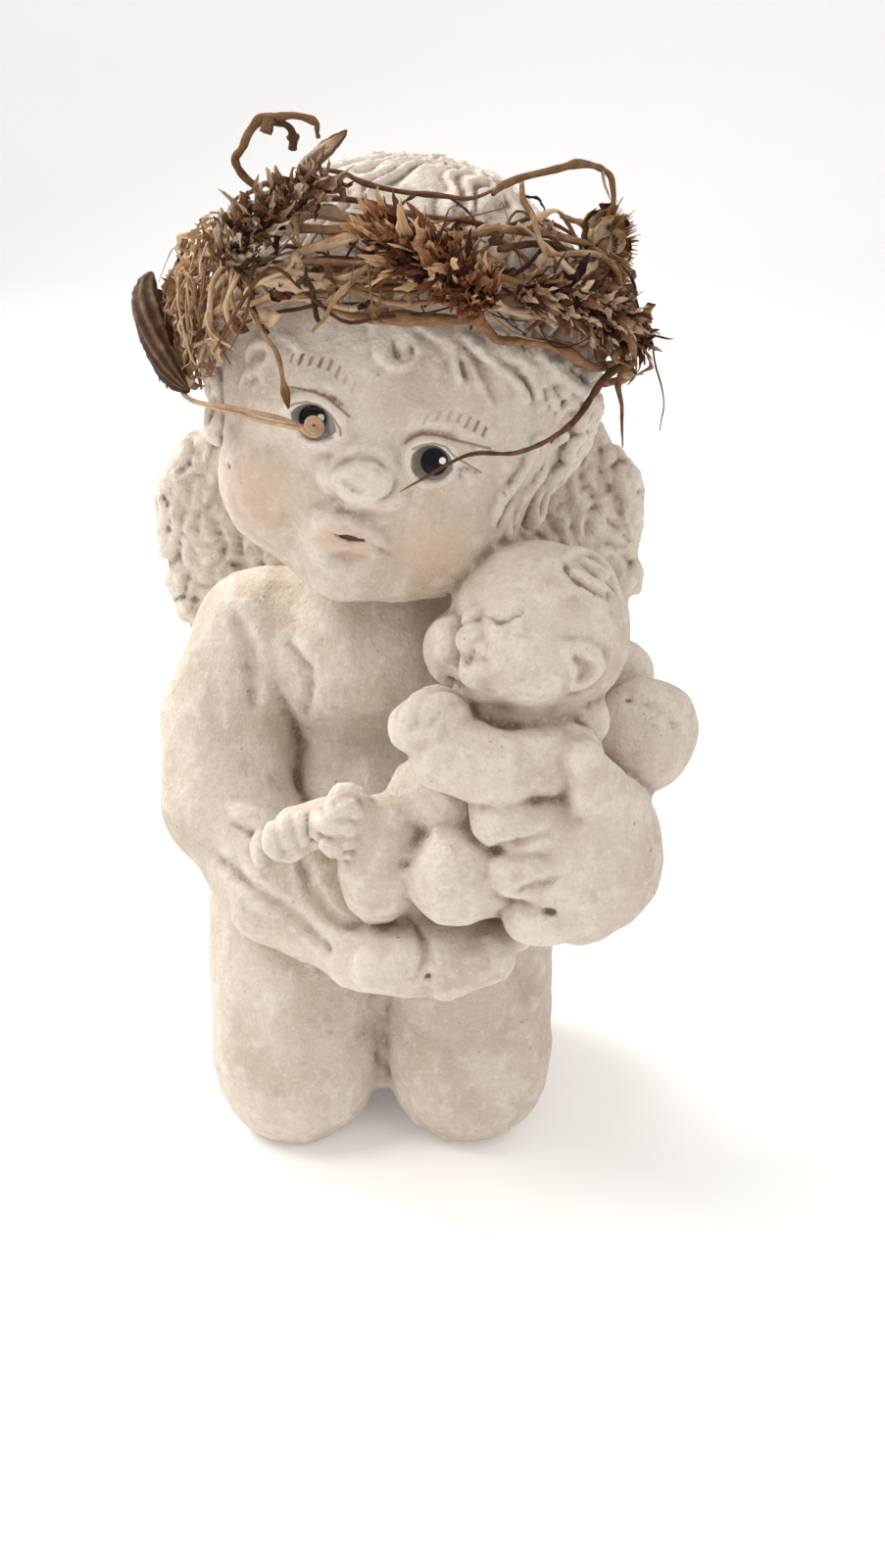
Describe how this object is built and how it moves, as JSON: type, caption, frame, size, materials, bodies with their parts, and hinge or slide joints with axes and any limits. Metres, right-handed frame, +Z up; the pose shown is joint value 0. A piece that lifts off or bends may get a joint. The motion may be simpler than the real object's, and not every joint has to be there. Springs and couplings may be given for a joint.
{
  "type": "cherub figurine",
  "caption": "Kneeling winged child figure in cast plaster, holding a small winged child in its arms and wearing a woven wreath of dried vine and flower heads.",
  "frame": {"origin": "centre of the bounding box at its underside, the flat that the knees and feet stand on", "axes": "+Z up, -Y the way the figure faces, +X to the right of someone who looks at its face"},
  "size_m": [0.0772, 0.0788, 0.1356],
  "materials": {
    "cast_plaster": "matte off-white cast gypsum with a thin grey-beige wash in the carving, fine pits, painted eyes and brows and a peach blush on the cheeks",
    "dried_vine": "dry bare stems, straw to dark brown, matte",
    "dried_leaf": "dry curled leaf, dark brown, ribbed, matte",
    "rust_flower": "dry papery bracts, rust brown, matte",
    "grey_flower": "dry papery bracts, grey brown to straw, matte"
  },
  "bodies": {
    "root": {"cherub": "cast_plaster", "woven_vine_wreath": "dried_vine", "curled_leaf": "dried_leaf", "flower_head_front": "rust_flower", "flower_head_right": "grey_flower", "flower_head_left": "grey_flower", "seed_head": "grey_flower", "vine_loop_left": "dried_vine", "vine_loop_right": "dried_vine", "stem_with_curl": "dried_vine", "stem_over_cheek": "dried_vine", "stem_with_bud": "dried_vine", "tendril_right": "dried_vine"}
  },
  "joints": []
}
